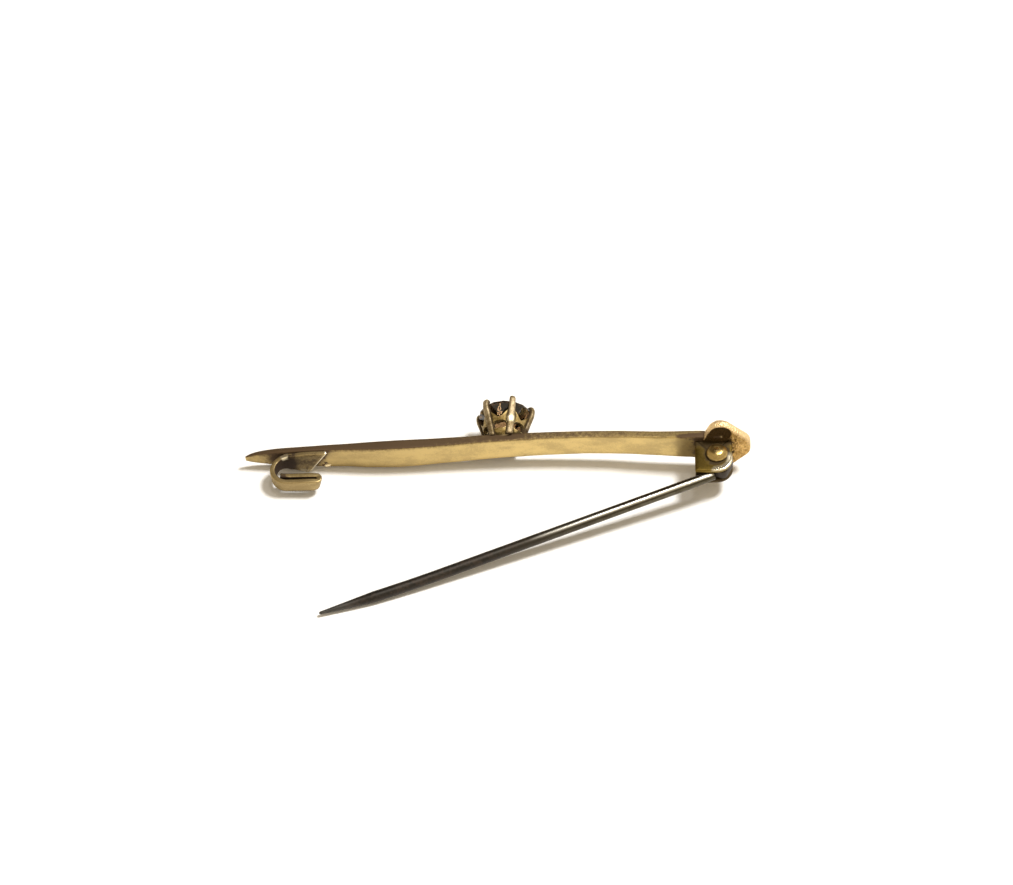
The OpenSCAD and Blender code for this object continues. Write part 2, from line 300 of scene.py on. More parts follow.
def rounded_outline(corners, radii, steps=5, runs=0):
    """Points round a shape, its corners rounded, with extra points on each straight run"""
    arcs = []
    for i, corner in enumerate(corners):
        here, radius = Vector(corner), radii[i]
        back = (Vector(corners[i - 1]) - here).normalized()
        ahead = (Vector(corners[(i + 1) % len(corners)]) - here).normalized()
        half = math.acos(max(-1, min(1, back.dot(ahead)))) / 2
        middle = here + (back + ahead).normalized() * radius / math.sin(half)
        first = here + back * radius / math.tan(half) - middle
        last = here + ahead * radius / math.tan(half) - middle
        start = math.atan2(first.y, first.x)
        turn = (math.atan2(last.y, last.x) - start + math.pi) % (2 * math.pi) - math.pi
        angles = [start + turn * k / steps for k in range(steps + 1)]
        arcs.append([middle + Vector((math.cos(a), math.sin(a))) * radius for a in angles])
    outline = []
    for i, arc in enumerate(arcs):
        outline += arc
        ahead = arcs[(i + 1) % len(arcs)][0]
        outline += [arc[-1].lerp(ahead, k / (runs + 1)) for k in range(1, runs + 1)]
    return outline


def lofted(rings, ends=True):
    """Skin over a row of rings that have the same number of points"""
    n = len(rings[0])
    points = [p for ring in rings for p in ring]
    faces = [
        (r * n + k, r * n + (k + 1) % n, (r + 1) * n + (k + 1) % n, (r + 1) * n + k)
        for r in range(len(rings) - 1) for k in range(n)
    ]
    if ends:
        faces += [tuple(range(n)), tuple(range(len(points) - n, len(points)))]
    return points, faces


# One row for each section: share of the length, place of the back, height, thickness
bar_rows = [
    (0.000, 0.12, 0.50, 0.24), (0.012, 0.12, 1.02, 0.38), (0.031, 0.10, 1.48, 0.52),
    (0.070, 0.04, 2.00, 0.62), (0.130, -0.02, 2.40, 0.68), (0.190, -0.08, 2.60, 0.80),
    (0.295, -0.25, 2.85, 1.12), (0.390, 0.00, 2.72, 1.04), (0.500, 0.36, 2.62, 0.95),
    (0.600, 0.55, 2.58, 0.88), (0.680, 0.58, 2.56, 0.85), (0.750, 0.46, 2.62, 0.85),
    (0.820, 0.22, 2.78, 0.86), (0.880, 0.03, 3.05, 0.90), (0.912, 0.00, 3.10, 0.86),
    (0.945, 0.12, 2.70, 0.60),
]


def bar_at(share):
    """Back, height and thickness of the bar, eased between the rows"""
    i = max(k for k in range(len(bar_rows) - 1) if bar_rows[k][0] <= share or k == 0)
    a, b = bar_rows[i], bar_rows[i + 1]
    before, after = bar_rows[max(i - 1, 0)], bar_rows[min(i + 2, len(bar_rows) - 1)]
    width = b[0] - a[0]
    t = (share - a[0]) / width
    values = []
    for c in (1, 2, 3):
        slope_a = (b[c] - before[c]) / (b[0] - before[0])
        slope_b = (after[c] - a[c]) / (after[0] - a[0])
        values.append(
            a[c] * (2 * t**3 - 3 * t**2 + 1) + b[c] * (3 * t**2 - 2 * t**3)
            + slope_a * width * (t**3 - 2 * t**2 + t) + slope_b * width * (t**3 - t**2)
        )
    return values


bar_rings, bar_steps = [], 170
for i in range(bar_steps + 1):
    # The sections crowd towards the point, where the outline turns fastest
    share = bar_rows[-1][0] * (i / bar_steps) ** 1.12
    back, height, thick = bar_at(share)
    half, x = height / 2, tip_x + bar_length * share
    soft = min(1, thick / 0.5, height / 0.9)
    back_edge, front_edge = 0.16 * soft, 0.26 * soft
    section = rounded_outline(
        [(back, -half), (back + thick, -half), (back + thick, half), (back, half)],
        [back_edge, front_edge, front_edge, back_edge], runs=6,
    )
    # Filed by hand, so no face is quite flat
    ring = []
    for y, z in section:
        wave = noise.noise(Vector((x * 0.55, y * 1.2, z * 0.9 + 5))) * 0.022 * soft
        dent = noise.noise(Vector((x * 2.1, y * 2, z * 2.4))) * 0.008 * soft
        ring.append((x, y + wave + dent, z * (1 - 0.25 * (wave + dent))))
    bar_rings.append(ring)


def upper_brink_shade(x, y, z):
    """1 along the upper edge of the bar's faces, which are darkened there as painted shade"""
    half = bar_at((x - tip_x) / bar_length)[1] / 2
    return (z / half - 0.62) / 0.3


def shade_by_ears(x, y, z):
    """1 on the bar's back from just before the hinge's ears, where it is darkened as painted shade
    and reflection of the ears
    """
    return (x - hinge_x + 3.8 + 0.15 * math.sin(z * 3)) / 0.25 * clipped((0.5 - y) / 0.2)


# Darker towards the tip as tarnish; along the upper edges, on the top and bottom faces and beside
# the ears darkened as painted shade
bar_gold = worn_and_shaded_gold(
    "worn_bar_gold_with_painted_shade", rgb(0.60, 0.445, 0.18), rgb(0.44, 0.325, 0.135), rgb(0.085, 0.05, 0.022),
    film_share=0.05, rough=0.22, scratch_depth=0.008, edge_film_and_shade=0.45, darkening_marks=(
        ("towards_tip", 0.45, 0.65), ("towards_head", -0.25, 0), ("upper_brink_shade", 0.5, 0),
        ("shade_by_ears", 0.5, 0.7),
    ),
)
bar = formed("bow_bar", *lofted(bar_rings), bar_gold)
marked(bar, "towards_tip", lambda x, y, z: (1 - x) / 21)
marked(bar, "towards_head", lambda x, y, z: (x - 2) / 12)
marked(bar, "upper_brink_shade", upper_brink_shade)
marked(bar, "shade_by_ears", shade_by_ears)
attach(bar, "brooch")
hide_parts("bar")

# --- The leaf-shaped head --------------------------------------------------------------
# A cast leaf of three lobes at the bar's end, domed in front, hollowed behind its two outer
# lobes to save gold, and soldered over the end of the bar. Its face is frosted with a fine
# punch. Its upper rim is painted lighter as a highlight, and the hollow behind the upper lobe is
# darkened with painted shade.

head_height, head_back, head_thick, head_edge, lobe_r = 6.4, -0.05, 0.75, 0.16, 1.15
head_x, end_x, neck_x = head_end_x - 2.7, head_end_x - lobe_r, head_end_x - 3.45
lobe_z = head_height / 2 - lobe_r
head_corners = [Vector(p) for p in (
    (neck_x, 0.4), (head_x, lobe_z), (end_x, 0.45),
    (end_x, -0.45), (head_x, -lobe_z), (neck_x, -0.4),
)]
head_outline, corner_steps = [], 12
for i, here in enumerate(head_corners):
    arriving, leaving = here - head_corners[i - 1], head_corners[(i + 1) % 6] - here
    start = math.atan2(arriving.y, arriving.x) + math.pi / 2
    turn = (math.atan2(leaving.y, leaving.x) + math.pi / 2 - start) % (2 * math.pi)
    turn -= 2 * math.pi if turn > 0 else 0
    angles = [start + turn * k / corner_steps for k in range(corner_steps + 1)]
    head_outline += [here + lobe_r * Vector((math.cos(a), math.sin(a))) for a in angles]
head_middle = Vector((head_x + 0.45, 0))
lobes = [Vector((head_x, lobe_z)), Vector((end_x - 0.25, 0)), Vector((head_x, -lobe_z))]


def reach_at(ray):
    """Distance from the head's middle to its outline, along a ray"""
    best = 0
    for i, a in enumerate(head_outline):
        side = head_outline[(i + 1) % len(head_outline)] - a
        cross = ray.x * side.y - ray.y * side.x
        if abs(cross) > 1e-9:
            gap = a - head_middle
            r = (gap.x * side.y - gap.y * side.x) / cross
            t = (gap.x * ray.y - gap.y * ray.x) / cross
            if r > 0 and -1e-6 <= t <= 1 + 1e-6:
                best = max(best, r)
    return best


def lobe_height(place, spread, power, at=lobes):
    """1 in the middle of a lobe, 0 away from them all"""
    return max(max(0, 1 - ((place - lobe).length / spread) ** power) for lobe in at)


def all_round(count):
    """Angles spread evenly round a circle"""
    return [2 * math.pi * k / count for k in range(count)]


spokes, circles, edge_steps = 168, 34, 8
rays = [Vector((math.cos(a), math.sin(a))) for a in all_round(spokes)]
reaches = [reach_at(ray) for ray in rays]
levels = [("front", c / circles) for c in range(1, circles)]
levels += [("edge", math.pi * a / edge_steps) for a in range(edge_steps + 1)]
levels += [("back", c / circles) for c in range(circles - 1, 0, -1)]
head_rings = []
for side, value in levels:
    ring = []
    for ray, reach in zip(rays, reaches):
        if side == "edge":
            place = head_middle + ray * (reach - head_edge + head_edge * math.sin(value))
            y = head_back + head_thick / 2 * (1 + math.cos(value))
        else:
            place = head_middle + ray * (reach - head_edge) * value
            if side == "front":
                y = head_back + head_thick + 0.4 * lobe_height(place, 1.12, 2) ** 1.1
            else:
                y = head_back + 0.4 * lobe_height(place, 1.02, 4, lobes[::2])
            y += noise.noise(Vector((place.x * 2.2, 3, place.y * 2.2))) * 0.03
            y += noise.noise(Vector((place.x * 5, 8, place.y * 5))) * 0.035
        ring.append((place.x, y, place.y))
    head_rings.append(ring)


def head_hollow_shade(x, y, z):
    """1 deep in the hollow behind the upper lobe, which is darkened there as painted shade"""
    if y >= head_back + 0.55:
        return 0
    return 1.15 - 1.15 * math.hypot((x - head_x + 0.2) / 1.4, (z - lobe_z + 0.2) / 0.98) ** 3


def head_rim_highlight(x, y, z):
    """1 at the upper lobe's outline, 0 from 0.4 mm inside it, and less towards the lower lobe;
    where it is 1 a highlight is painted
    """
    place = Vector((x, z)) - head_middle
    at = round(math.atan2(place.y, place.x) / (2 * math.pi) * spokes) % spokes
    return (1 - (reaches[at] - place.length) / 0.4) * clipped((z + 0.2) / 1.2)


material, place = blank("frosted_head_gold_with_painted_light")
ridge, corner_shade_and_dirt = place.mark("ridge"), place.mark("corner_shade_and_dirt")
grain = place.cloud(6.5, 3, 0.7)
punch = place.node("ShaderNodeTexVoronoi", None, {"Vector": place, "Scale": 5.5}, "Distance")
tone = place.cloud(0.8, 3)
nuggets = place.cloud(2.6, 3, 0.6)
# Darkening: film and grain, plus painted shade from the corner mark and in the hollow behind the
# upper lobe
dirt_and_shade = corner_shade_and_dirt * 3.4 + place.mark("hollow") * 1.1 + grain * 0.9 + tone * 0.3 - 1.05 - ridge
dirt_and_shade = dirt_and_shade.eased(0.0, 0.6)
colour = (tone * 0.4 + nuggets * 0.6).eased(0.38, 0.62).mix(
    rgb(0.37, 0.22, 0.06), rgb(0.67, 0.44, 0.16)
)
# The upper rim is painted lighter: a painted highlight
colour = (place.mark("rim") * 0.75).mix(colour, rgb(0.92, 0.71, 0.42))
colour = dirt_and_shade.mix(colour, rgb(0.075, 0.04, 0.008))
colour = ridge.eased(0.25, 0.8).mix(colour, rgb(0.88, 0.64, 0.34))
coated(
    place, Base_Color=colour, Metallic=1 - dirt_and_shade * 0.35,
    Roughness=0.44 + grain * 0.14 + dirt_and_shade * 0.2 - ridge.eased(0.2, 0.8) * 0.16,
    Normal=(grain * 0.6 + punch * 0.9 + nuggets).relief(0.08),
)
head = formed("leaf_head", *lofted(head_rings), material)
marked(head, "hollow", head_hollow_shade)
marked(head, "rim", head_rim_highlight)
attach(head, "brooch")
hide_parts("bar")

# --- The catch -------------------------------------------------------------------------
# One strip of the same gold, soldered to the back near the point. It is bent round into a
# C that holds the pin's end, and its free end is folded in on itself so that nothing snags.
# A bead of solder stands at the end of its foot.


def swept(path, width_axis, sizes, corner, steps=4, runs=0, rounding=0.0):
    """A rounded section carried along a path. Each size is its thickness across the path and
    its width along width_axis; rounding softens both ends."""
    path = [Vector(p) for p in path]
    axis = Vector(width_axis).normalized()
    rings = []
    for i, point in enumerate(path):
        ahead = (path[min(i + 1, len(path) - 1)] - path[max(i - 1, 0)]).normalized()
        side = axis.cross(ahead).normalized()
        thick, wide = sizes[i]
        r = min(corner, thick * 0.499, wide * 0.499)
        outline = rounded_outline(
            [(-thick / 2, -wide / 2), (thick / 2, -wide / 2), (thick / 2, wide / 2),
             (-thick / 2, wide / 2)], [r] * 4, steps, runs,
        )
        stack = [(0, 0)]
        if rounding and i in (0, len(path) - 1):
            stack = [
                (rounding * (1 - math.cos(a)), rounding * math.sin(a))
                for a in (math.pi / 2 * k / 4 for k in range(5))
            ]
            stack = stack[::-1] if i == 0 else stack
        for inset, push in stack:
            shift = ahead * (push if i else -push)
            in_t, in_w = 1 - 2 * inset / thick, 1 - 2 * inset / wide
            rings.append([
                tuple(point + shift + side * (u * in_t) + axis * (v * in_w)) for u, v in outline
            ])
    return lofted(rings)


strip, slit, flap = 0.5, 0.2, 3.05
catch_length, catch_reach, catch_back = 4.7, 3.3, 0.005
catch_x = tip_x + 2.45
foot_y = catch_back - strip / 2
bend_x, bend_y = catch_x + catch_reach / 2, catch_back - catch_reach / 2
bend_r = catch_reach / 2 - strip / 2
fold_r = strip + slit / 2
fold_x, fold_y = catch_x + catch_length - fold_r, catch_back - catch_reach + fold_r
turn_r = fold_r - strip / 2

# The strip's middle line: its foot, the bend, the hook, the fold and the flap
path = [(fold_x + 0.21, foot_y + 0.05), (fold_x + 0.05, foot_y)]
path += [(fold_x - 0.05 - (fold_x - 0.45 - bend_x) * k / 9, foot_y) for k in range(10)]
path += [
    (bend_x + bend_r * math.cos(a), bend_y + bend_r * math.sin(a))
    for a in (math.pi / 2 + math.pi * k / 28 for k in range(29))
]
path += [(bend_x + (fold_x - bend_x) * k / 9, bend_y - bend_r) for k in range(1, 9)]
path += [
    (fold_x + turn_r * math.cos(a), fold_y + turn_r * math.sin(a))
    for a in (-math.pi / 2 + math.pi * k / 10 for k in range(11))
]
path += [(fold_x - flap * k / 8, fold_y + turn_r + 0.008 * k) for k in range(1, 9)]
catch_path, catch_sizes = [], []
for i, (x, y) in enumerate(path):
    # The foot is wider than the hook, which narrows a little more towards the fold
    wide = clipped((i - 3) / 18)
    wide = 1 - wide * wide * (3 - 2 * wide)
    free = clipped((i - 48) / 8)
    catch_path.append((x, y, 0.12 - 0.24 * wide - 0.06 * free))
    catch_sizes.append((
        0.42 if i == 0 else strip, 1.3 + 1.3 * wide - 0.08 * free + 0.03 * math.sin(x * 2.1)
    ))
catch_points, catch_faces = swept(
    catch_path, (0, 0, 1), catch_sizes, corner=0.13, runs=5, rounding=0.08
)
slant = 0.68


def cut_aslant(x, y, z):
    """The foot's end was clipped at a slant, and the fold follows it a little"""
    share = 1 if y > foot_y - strip else 0.4
    return (x + slant * share * z * clipped((x - fold_x + 1) / 0.8), y, z)


def catch_inside_shade(x, y, z):
    """1 on the faces that look into the catch, and less along the foot towards its end; these are
    darkened as painted shade
    """
    if x < bend_x:
        return (bend_r - 0.1 - math.hypot(x - bend_x, y - bend_y)) / 0.1
    deep = min(1, (catch_back + 0.05 - y) / 0.1, (y - fold_y - fold_r + 0.15) / 0.1)
    return deep * max(0.6, min(1, (bend_x + 1.5 - x) / 1.1))


def catch_brim(x, y, z):
    """1 where the pin and the cloth rub and a pale highlight is painted: the foot's clipped
    end and a spot on the bend, and less along the foot's lower edge"""
    if y < foot_y - strip or x < bend_x + 0.6:
        return (0.4 - math.hypot(x - bend_x + 0.4, y - bend_y - 1.35)) / 0.1 if z > 0.6 else 0
    return max(min(0.5, (-1.05 - z) / 0.2), (x - slant * z - fold_x - 0.1) / 0.12)


# Inside the catch and along the lower part of its arm the gold is darkened as painted shade; its
# brim is polished and painted with a pale highlight
catch_gold = worn_and_shaded_gold(
    "worn_catch_gold_with_painted_light", rgb(0.44, 0.335, 0.16), rgb(0.30, 0.22, 0.10), rgb(0.040, 0.022, 0.010),
    film_share=0.12, rough=0.36, scratch_depth=0.014,
    darkening_marks=(("inside", 0.9, 0.5), ("underside_shade", 0.7, 0.5)), rubbed_and_glint="brim_glint",
)
catch = formed("folded_catch", [cut_aslant(*p) for p in catch_points], catch_faces, catch_gold)
marked(catch, "inside", catch_inside_shade)
marked(catch, "brim_glint", catch_brim)
# The lower part of the arm is marked for painted shade
marked(catch, "underside_shade", lambda x, y, z: (-0.34 - z) / 0.12 if y < foot_y - strip else 0)
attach(catch, "brooch")
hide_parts("bar")

bead_x, bead_y, bead_z = fold_x + 0.95, 0.02, -1.0
bead_rings = []
for k in range(1, 12):
    height, girth = 0.2 * math.cos(math.pi * k / 12), math.sin(math.pi * k / 12)
    bead_rings.append([
        (bead_x + 0.34 * girth * math.cos(a) + 0.05 * math.sin(3 * a), bead_y - height,
         bead_z + 0.27 * girth * math.sin(a))
        for a in all_round(28)
    ])
bead = formed("solder_bead", *lofted(bead_rings), worn_and_shaded_gold(
    "solder_gold", rgb(0.80, 0.66, 0.40), rgb(0.62, 0.48, 0.26), rgb(0.12, 0.07, 0.03),
    film_share=-0.1, rough=0.16, scratch_depth=0.006,
))
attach(bead, "brooch")
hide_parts("bar")

# --- The two hinge ears ----------------------------------------------------------------
# Two plates of rolled gold stand on the back at the head, square towards the point and
# rounded at the nose. They are soldered along their feet, bored for the rivet, and browned.

ear_r, ear_thick, ear_gap = 1.38, 0.45, 1.05
nose_x, nose_y = hinge_x, hinge_y - 0.35
tail_x, root_y = hinge_x - 2, head_back + 0.3
ear_outline = rounded_outline(
    [(tail_x, nose_y - ear_r), (hinge_x + ear_r, nose_y - ear_r),
     (hinge_x + ear_r, root_y), (tail_x, root_y)],
    [0.16, ear_r - 0.01, 0.05, 0.05], steps=12, runs=5,
)


def plate(outline, low, high, soft):
    """A flat plate between two heights, its edges softened"""
    middle = sum(outline, Vector((0, 0))) / len(outline)
    rings = []
    bends = [math.pi / 2 * k / 4 for k in range(5)]
    for inset, z in (
        [(soft * (1 - math.sin(a)), low + soft * (1 - math.cos(a))) for a in bends]
        + [(soft * (1 - math.cos(a)), high - soft * (1 - math.sin(a))) for a in bends]
    ):
        ring = []
        for i, p in enumerate(outline):
            run = (outline[(i + 1) % len(outline)] - outline[i - 1]).normalized()
            inward = Vector((-run.y, run.x))
            inward = inward if inward.dot(middle - p) > 0 else -inward
            q = p + inward * inset
            ring.append((q.x, q.y, z))
        rings.append(ring)
    rim = rings[-1]
    for share in (0.78, 0.5, 0.2):
        rings.append([
            (middle.x + (x - middle.x) * share, middle.y + (y - middle.y) * share, z)
            for x, y, z in rim
        ])
    return lofted(rings)


def nose_rim_glint(x, y, z):
    """1 on the upper ear's rim, round the nose, where the cloth polishes it and a pale highlight
    is painted
    """
    x, y = x - nose_x, y - nose_y
    round_nose = min((math.hypot(x, y) - 1.02) / 0.14, (z - 0.84) / 0.06)
    return min(round_nose, (math.atan2(y, x) + 2.0) / 0.3, (0.35 - math.atan2(y, x)) / 0.3)


# The lower ear is darkened as painted shade; the upper ear's nose rim is polished and painted with
# a pale highlight
ear_gold = worn_and_shaded_gold(
    "browned_ear_gold_with_painted_light", rgb(0.20, 0.135, 0.03), rgb(0.115, 0.075, 0.014), rgb(0.045, 0.026, 0.004),
    film_share=0.34, rough=0.26, scratch_depth=0.012, darkening_marks=(("lower", 0.9, 0.7),),
    rubbed_and_glint="nose_rim_glint",
)
ears = []
for name, low in (("upper_ear", ear_gap / 2), ("lower_ear", -ear_gap / 2 - ear_thick)):
    ear = formed(name, *plate(ear_outline, low, low + ear_thick, soft=0.15), ear_gold)
    marked(ear, "nose_rim_glint", nose_rim_glint)
    marked(ear, "lower", lambda x, y, z: 1 if z < 0 else 0)
    ears.append(ear)
    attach(ear, "brooch")
    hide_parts("bar")

# --- The claw setting ------------------------------------------------------------------
# A coronet: a flared gold cup, pierced low between the claws and filed into deep scallops
# above, soldered to the bar's front. Six wire claws stand on it and are bent over the stone.

setting_x, setting_y = 0.73, 1.337
claw_count, claw_phase = 6, math.radians(11)
claw_turn = 2 * math.pi / claw_count
stone_r, culet_h, girdle_h = 2.45, 0.63, 2.68
foot_r, foot_flare, cup_r, cup_flare, cup_wall = 1.3, 0.4, 1.7, 0.29, 0.42
foot_h, floor_h, dip_h, peak_rise, piercing_h = -0.3, 0.22, 1.3, 0.98, 0.66


def set_at(r, h, angle):
    """A point of the setting, at a radius, a height above the bar and an angle"""
    return (setting_x + r * math.cos(angle), setting_y + h, r * math.sin(angle))


def seat_at(h):
    """The cup's inner radius at a height, just clear of the stone's lower facets"""
    return stone_r * (h - culet_h) / (girdle_h - culet_h) + 0.04


def bored(piece, cutters):
    """Takes the cutters out of a piece, for good"""
    for cutter in cutters:
        cut = piece.modifiers.new("cut", "BOOLEAN")
        cut.operation, cut.solver, cut.object = "DIFFERENCE", "EXACT", cutter
    ready = piece.evaluated_get(bpy.context.evaluated_depsgraph_get())
    mesh = bpy.data.meshes.new_from_object(ready)
    piece.modifiers.clear()
    piece.data = mesh
    piece.data.set_sharp_from_angle(angle=sharp_turn)
    for cutter in cutters:
        bpy.data.objects.remove(cutter)


around, upward = 240, 18
cup_rings = []
for k in range(around):
    angle = claw_phase + 2 * math.pi * k / around
    # The rim dips in a scallop between two claws and peaks behind each of them
    arc = abs(((2 * math.pi * k / around) % claw_turn) / claw_turn - 0.5) * claw_turn * 2.1
    rim = dip_h + peak_rise * (math.hypot(arc, 0.14) - 0.14) / 0.97
    ring = []
    for j in range(upward + 1):
        h = foot_h + (rim - foot_h) * j / upward
        flared = foot_r + foot_flare * (h - foot_h) / -foot_h
        r = flared if h < 0 else cup_r + cup_flare * h
        ring.append(set_at(r, h, angle))
    outer = cup_r + cup_flare * rim
    inner = max(outer - cup_wall, seat_at(rim))
    for j in range(1, 6):
        a = math.pi * j / 6
        r = (outer + inner) / 2 + (outer - inner) / 2 * math.cos(a)
        ring.append(set_at(r, rim + 0.09 * math.sin(a) ** 0.6, angle))
    for j in range(upward + 1):
        h = rim + (floor_h - rim) * j / upward
        ring.append(set_at(max(cup_r - cup_wall + cup_flare * h, seat_at(h)), h, angle))
    ring += [set_at(0.05, floor_h, angle), set_at(0.05, foot_h, angle)]
    cup_rings.append(ring)
cup_rings.append(cup_rings[0])
cup_gold = worn_and_shaded_gold(
    "filmed_cup_gold", rgb(0.46, 0.345, 0.15), rgb(0.22, 0.15, 0.04), rgb(0.060, 0.038, 0.006),
    film_share=0.58, rough=0.36, scratch_depth=0.03,
)
cup = formed("coronet", *lofted(cup_rings, ends=False), cup_gold)
piercing = rounded_outline(
    [(-0.68, -0.36), (0.68, -0.36), (0.68, 0.36), (-0.68, 0.36)], [0.35] * 4
)
drills = []
for k in range(claw_count):
    angle = claw_phase + claw_turn * (k + 0.5)
    out = Vector((math.cos(angle), 0, math.sin(angle)))
    side = Vector((-math.sin(angle), 0, math.cos(angle)))
    foot = Vector((setting_x, setting_y + piercing_h, 0))
    drills.append(formed("drill", *lofted([
        [tuple(foot + out * r + side * u + Vector((0, v, 0))) for u, v in piercing]
        for r in (1, 3)
    ]), cup_gold))
bored(cup, drills)
ridged(cup)
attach(cup, "brooch")
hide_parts("bar")

# One row for each bend of a claw: distance from the stone's axis, height, thickness
claw_rows = [
    (1.58, -0.1, 0.60), (1.64, 0.2, 0.60), (1.90, 1.05, 0.62), (2.22, 1.95, 0.60),
    (2.42, 2.45, 0.56), (2.50, 2.85, 0.52), (2.50, 3.08, 0.52), (2.42, 3.20, 0.48),
    (2.27, 3.25, 0.40),
]


def claw_at(place):
    """Distance, height and thickness of a claw, at a place counted in rows of its table"""
    last = len(claw_rows) - 1
    a = min(int(place), last - 1)
    t = place - a
    p = [Vector(claw_rows[max(0, min(last, a + d))][:2]) for d in (-1, 0, 1, 2)]
    spot = 0.5 * (
        2 * p[1] + (p[2] - p[0]) * t + (2 * p[0] - 5 * p[1] + 4 * p[2] - p[3]) * t**2
        + (3 * p[1] - p[0] - 3 * p[2] + p[3]) * t**3
    )
    thick, next_thick = claw_rows[a][2], claw_rows[a + 1][2]
    return spot.x, spot.y, thick + (next_thick - thick) * t


claw_gold = worn_and_shaded_gold(
    "greyed_claw_gold_with_painted_glint", rgb(0.40, 0.32, 0.20), rgb(0.17, 0.12, 0.05), rgb(0.06, 0.036, 0.014),
    film_share=0.60, rough=0.44, scratch_depth=0.06, rubbed_and_glint="rubbed_and_glint",
)
claws = []
for k in range(claw_count):
    angle = claw_phase + claw_turn * k
    tangent = (-math.sin(angle), 0, math.cos(angle))
    stations = [claw_at(i / 4) for i in range((len(claw_rows) - 1) * 4 + 1)]
    claw_line = [set_at(r, h, angle) for r, h, thick in stations]
    claw_sizes = [(thick, thick * 1.06) for r, h, thick in stations]
    claw = formed(f"claw_{k + 1}", *swept(
        claw_line, tangent, claw_sizes, corner=0.2, steps=5, rounding=0.17
    ), claw_gold)
    # Only the claw that stands uppermost is polished partway up and painted there with a pale
    # highlight
    marked(claw, "rubbed_and_glint", lambda x, y, z: 1.5 - abs(y - setting_y - 1.15) / 0.2 if k == 1 else 0)
    claws.append(claw)
    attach(claw, "brooch")
    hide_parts("bar")

# --- The stone -------------------------------------------------------------------------
# A round brilliant of smoky brown paste, cut and polished and held by the claws. The packed
# solid has its true facets, so it stays and only its finish is made here.

material, place = blank("smoky_paste")
haze = place.cloud(1.4, 3)
coated(
    place, Base_Color=haze.eased(0.3, 0.7).mix(rgb(0.30, 0.18, 0.09), rgb(0.20, 0.11, 0.045)),
    Roughness=0.02 + haze * 0.03, IOR=1.63, Transmission_Weight=1.0,
)
stone = frame["nodes"]["stone"]
stone.data.materials.clear()
stone.data.materials.append(material)

# --- The rivet -------------------------------------------------------------------------
# A short gold wire through both ears and the pin's eye. Its top was hammered into a low
# dome, which was knocked a little aside, and its foot spread into a flat burr.

shank_r, seat, knock = 0.42, 1.005, 0.15
dome_r, dome_h = 0.98, 0.60
# From the foot up to the dome: distance from the rivet's axis, height
profile = [
    (0.02, -seat - 0.22), (0.5, -seat - 0.22), (0.64, -seat - 0.18), (0.70, -seat - 0.1),
    (0.68, -seat - 0.02), (0.60, -seat), (shank_r, -seat), (shank_r, 0), (shank_r, seat),
    (0.92, seat), (0.97, seat + 0.05),
]
profile += [
    (dome_r * math.cos(a), seat + 0.04 + dome_h * math.sin(a))
    for a in (math.pi / 2 * t / 14 for t in range(1, 14))
]
profile += [(0.02, seat + 0.645)]
rivet_rings = []
for a in all_round(72):
    ring = []
    for r, z in profile:
        x, y = r * math.cos(a), r * math.sin(a)
        if z >= seat and r > shank_r:
            y += knock * min(1, (r - shank_r) / 0.3)
        elif z > seat:
            y += knock
        if abs(z) > seat:
            z += 0.03 * noise.noise(Vector((x * 2, y * 2, z)))
        ring.append((hinge_x + x, hinge_y + y, z))
    rivet_rings.append(ring)
rivet_rings.append(rivet_rings[0])
rivet_gold = worn_and_shaded_gold(
    "rubbed_rivet_gold", rgb(0.52, 0.38, 0.15), rgb(0.36, 0.25, 0.09), rgb(0.08, 0.05, 0.015),
    film_share=0.20, rough=0.20, scratch_depth=0.012,
)
rivet = formed("hinge_rivet", *lofted(rivet_rings, ends=False), rivet_gold)
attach(rivet, "brooch")
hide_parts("rivet")

# --- The pin ---------------------------------------------------------------------------
# Hard steel wire, browned by age, ground to a point and bent a little near it by years of
# closing. It is polished next to its flattened eye, which turns on the rivet between the ears.
# A pale line along its top near the eye is a painted highlight, and the eye is darkened with
# rust and painted shade.

pin_open, wire_offset, pin_length = math.radians(22.5), 1.28, 38.75
wire_r, taper_length, point_r = 0.5, 5.2, 0.13
eye_r, eye_half, fillet, bore_r, neck_s = 1.42, 0.475, 0.46, 0.47, 3.2
bent_from, bent_aside, bent_up = 27, 0.3, 0.28
down = Vector((-math.cos(pin_open), -math.sin(pin_open)))
aside = Vector((math.sin(pin_open), -math.cos(pin_open)))


def on_pin(s, out, z):
    """A point of the pin: along it from the rivet, across it, and up"""
    spot = Vector((hinge_x, hinge_y)) + down * s + aside * out
    return (spot.x, spot.y, z)


def on_wire(value_at):
    """Turns a value along the pin and across it into one by place on the brooch"""
    def value(x, y, z):
        spot = Vector((x - hinge_x, y - hinge_y))
        return value_at(spot.dot(down), spot.dot(aside), z)
    return value


def polished_line_highlight(s, out, z):
    """1 on a narrow line along the wire near the eye, where fingers have polished it and a
    highlight is painted
    """
    if s <= 1 or math.hypot(out - wire_offset, z) >= 0.6:
        return 0
    around_wire = math.atan2(out - wire_offset, z)
    return clipped(1.5 - abs(around_wire - 0.30) / 0.26) * (19 - s) / 9


material, place = blank("browned_steel_with_painted_light")
tone = place.stretched(0.5, 1.1, 1.1).cloud(1.3, 4, 0.6)
spots = place.cloud(4.2, 4, 0.65)
far, rust_and_shade_by_eye = place.mark("far"), place.mark("eye")
# Rust, plus painted shade from the corner mark and on the eye under the ears
rust = spots * 0.8 + tone * 0.7 + place.mark("corner_shade_and_dirt") * 1.2 + far * 0.12 + rust_and_shade_by_eye * 0.6
rust = rust.eased(0.78, 1.04)
colour = tone.eased(0.35, 0.7).mix(rgb(0.10, 0.088, 0.062), rgb(0.06, 0.05, 0.03))
colour = far.mix(colour, rgb(0.022, 0.019, 0.015))
colour = rust.mix(colour, rgb(0.030, 0.019, 0.011))
